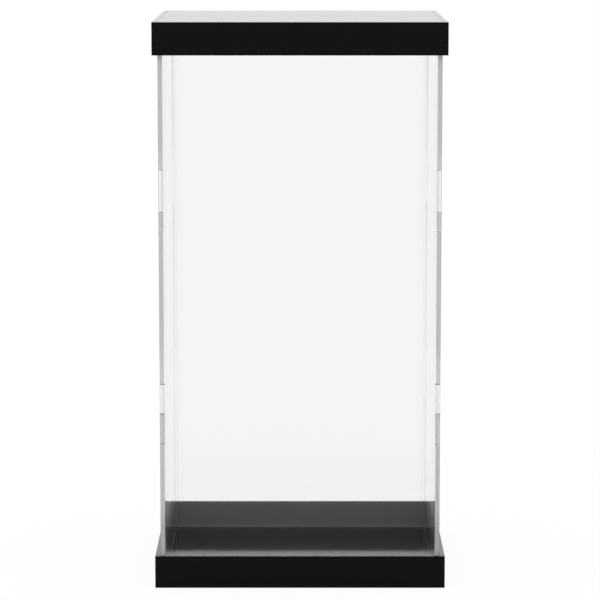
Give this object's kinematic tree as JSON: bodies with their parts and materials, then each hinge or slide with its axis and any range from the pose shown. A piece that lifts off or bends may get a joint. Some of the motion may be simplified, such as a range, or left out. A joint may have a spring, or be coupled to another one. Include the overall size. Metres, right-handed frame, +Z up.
{
  "type": "acrylic display box",
  "caption": "Tall clear display box: a sleeve of finger-jointed clear sheets standing in a shallow black base tray, closed by a matching lift-off lid.",
  "frame": {"origin": "middle of the base tray's underside, on the surface that the box stands on", "axes": "+Z up along the tall sleeve, +X to the right seen from the front, -Y towards the front"},
  "size_m": [0.1232, 0.113, 0.24],
  "materials": {
    "black_acrylic": "polished",
    "clear_acrylic": "polished"
  },
  "bodies": {
    "base": {"base_plate": "black_acrylic", "base_front_rim": "black_acrylic", "base_back_rim": "black_acrylic", "base_left_rim": "black_acrylic", "base_right_rim": "black_acrylic"},
    "walls": {"front_wall": "clear_acrylic", "back_wall": "clear_acrylic", "left_wall": "clear_acrylic", "right_wall": "clear_acrylic"},
    "lid": {"lid_plate": "black_acrylic", "lid_front_rim": "black_acrylic", "lid_back_rim": "black_acrylic", "lid_left_rim": "black_acrylic", "lid_right_rim": "black_acrylic"}
  },
  "joints": [
    {"name": "walls_lift", "type": "slide", "parent": "base", "child": "walls", "axis": [0, 0, 1], "range_m": [0, 0.03]},
    {"name": "lid_lift", "type": "slide", "parent": "walls", "child": "lid", "axis": [0, 0, 1], "range_m": [0, 0.03]}
  ]
}
